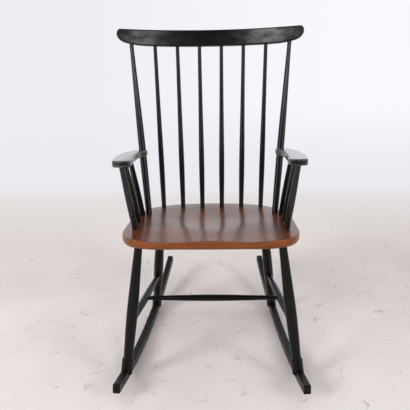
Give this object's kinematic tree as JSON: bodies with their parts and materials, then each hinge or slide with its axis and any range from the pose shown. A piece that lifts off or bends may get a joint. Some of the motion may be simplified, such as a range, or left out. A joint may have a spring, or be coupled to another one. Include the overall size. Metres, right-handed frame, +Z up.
{
  "type": "rocking chair",
  "caption": "Wooden rocking armchair with a spindle back under a bent crest rail, a hollowed seat, flat arms and splayed legs on curved rockers.",
  "frame": {"origin": "on the floor, halfway across the chair and halfway between the front and the rear tips of the rockers", "axes": "+Z up, +Y to the back of the chair, +X to the right as seen from the front"},
  "size_m": [0.605, 0.8493, 1.0385],
  "materials": {
    "black_wood": "black lacquer, satin",
    "seat_wood": "red-brown stain under satin varnish"
  },
  "bodies": {
    "root": {"seat": "seat_wood", "crest_rail": "black_wood", "back_spindle_1": "black_wood", "back_spindle_2": "black_wood", "back_spindle_3": "black_wood", "back_spindle_4": "black_wood", "back_spindle_5": "black_wood", "back_spindle_6": "black_wood", "back_post_right": "black_wood", "back_post_left": "black_wood", "arm_right": "black_wood", "arm_left": "black_wood", "arm_spindle_front_right": "black_wood", "arm_spindle_front_left": "black_wood", "arm_spindle_middle_right": "black_wood", "arm_spindle_middle_left": "black_wood", "arm_spindle_rear_right": "black_wood", "arm_spindle_rear_left": "black_wood", "front_leg_right": "black_wood", "front_leg_left": "black_wood", "rear_leg_right": "black_wood", "rear_leg_left": "black_wood", "side_stretcher_right": "black_wood", "side_stretcher_left": "black_wood", "cross_stretcher": "black_wood", "rocker_right": "black_wood", "rocker_left": "black_wood", "rocker_pins": "black_wood"}
  },
  "joints": []
}
